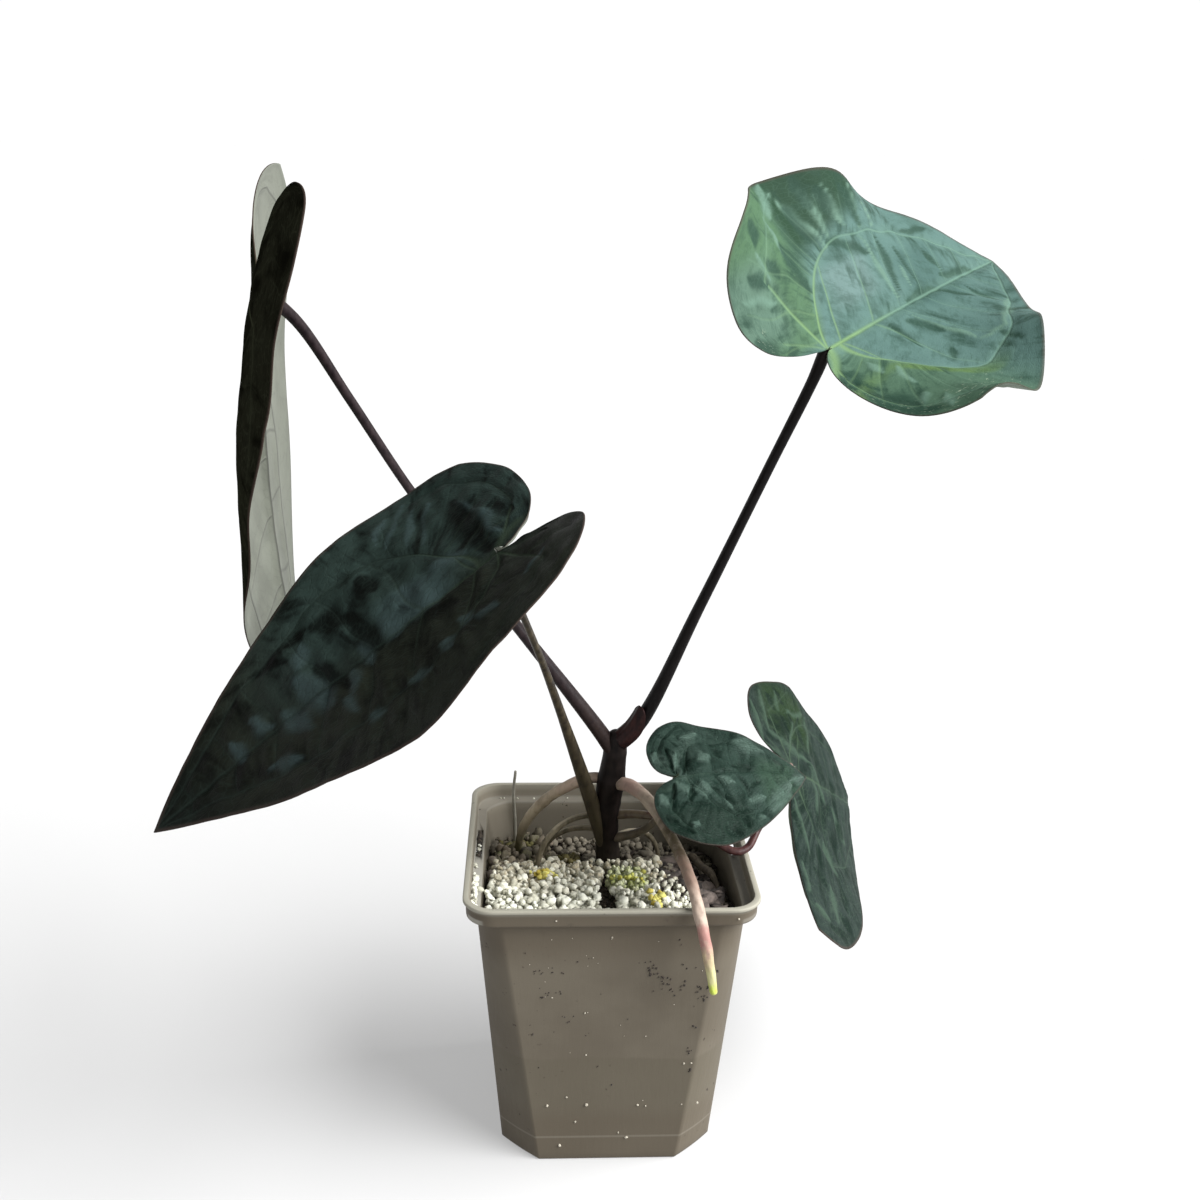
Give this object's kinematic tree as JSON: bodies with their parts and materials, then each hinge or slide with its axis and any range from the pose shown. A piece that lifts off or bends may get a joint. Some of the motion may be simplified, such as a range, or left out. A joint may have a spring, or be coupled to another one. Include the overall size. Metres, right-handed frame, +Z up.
{
  "type": "potted ace of spades anthurium",
  "caption": "Young aroid with heart-shaped leaves on long petioles and thick aerial roots, in a square plastic nursery pot filled with a loose grainy mix.",
  "frame": {"origin": "centre of the pot's flat base", "axes": "+Z up, -Y towards the viewer's side, +X to the viewer's right"},
  "size_m": [0.2878, 0.2396, 0.34],
  "materials": {
    "pot_plastic": "satin grey-brown moulded polypropylene with a paler lip",
    "stem_bark": "matte near-black maroon skin, greener at the foot",
    "petiole_upper_right": "smooth half-gloss skin",
    "petiole_far_left": "smooth half-gloss skin",
    "petiole_front_left": "smooth half-gloss skin",
    "petiole_front_right": "smooth half-gloss skin",
    "petiole_hanging_right": "smooth half-gloss skin",
    "sheath_skin": "papery dark red-brown",
    "root_over_rim": "matte pink to beige skin",
    "root_left_thick": "matte pink to beige skin",
    "root_left_upper": "matte pink to beige skin",
    "root_left_lower": "matte pink to beige skin",
    "root_right_lower": "matte pink to beige skin",
    "root_thread": "matte pink to beige skin",
    "leaf_upper_right": "velvety leaf surface with sunk veins, paler below",
    "leaf_far_left": "velvety leaf surface with sunk veins, paler below",
    "leaf_front_left": "velvety leaf surface with sunk veins, paler below",
    "leaf_front_right": "velvety leaf surface with sunk veins, paler below",
    "leaf_hanging_right": "velvety leaf surface with sunk veins, paler below",
    "dark_mix": "rough damp peat and bark dust",
    "white_pumice": "rough dry white to cream grains",
    "mossy_pumice": "rough grains with a yellow-green film of algae",
    "grey_stone": "rough grey-brown grains",
    "bark": "rough dark brown bark"
  },
  "bodies": {
    "root": {"pot": "pot_plastic", "stem": "stem_bark", "petiole_upper_right": "petiole_upper_right", "petiole_far_left": "petiole_far_left", "petiole_front_left": "petiole_front_left", "petiole_front_right": "petiole_front_right", "petiole_hanging_right": "petiole_hanging_right", "sheath": "sheath_skin", "root_over_rim": "root_over_rim", "root_left_thick": "root_left_thick", "root_left_upper": "root_left_upper", "root_left_lower": "root_left_lower", "root_right_lower": "root_right_lower", "root_thread": "root_thread", "leaf_upper_right": "leaf_upper_right", "leaf_far_left": "leaf_far_left", "leaf_front_left": "leaf_front_left", "leaf_front_right": "leaf_front_right", "leaf_hanging_right": "leaf_hanging_right", "potting_mix": "dark_mix", "pumice_grains": "white_pumice", "mossy_grains": "mossy_pumice", "grey_pumice": "grey_stone", "bark_chips": "bark"}
  },
  "joints": []
}
